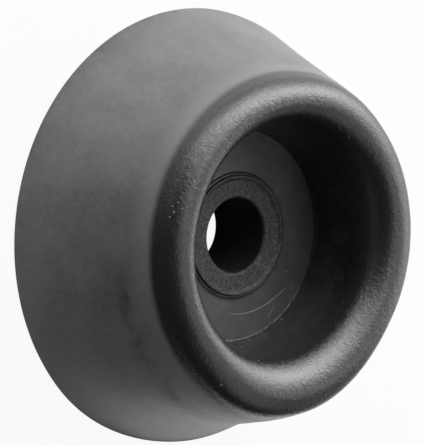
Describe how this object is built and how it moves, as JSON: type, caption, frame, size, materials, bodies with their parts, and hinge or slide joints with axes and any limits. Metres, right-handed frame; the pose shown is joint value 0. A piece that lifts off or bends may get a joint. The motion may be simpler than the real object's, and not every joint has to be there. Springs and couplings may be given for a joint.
{
  "type": "rubber buffer",
  "caption": "Conical moulded rubber buffer with a flat back, a rounded cup in its nose and a washer set in the cup floor round a through hole.",
  "frame": {"origin": "centre of the flat back face, on the axis of the screw hole", "axes": "+Z along the screw hole, out of the mouth of the cup; the part is round about Z"},
  "size_m": [0.038, 0.038, 0.0143],
  "materials": {
    "rubber": "satin, fine moulded grain",
    "washer": "blackened steel, grained, satin"
  },
  "bodies": {
    "root": {"rubber_body": "rubber", "washer_insert": "washer"}
  },
  "joints": []
}
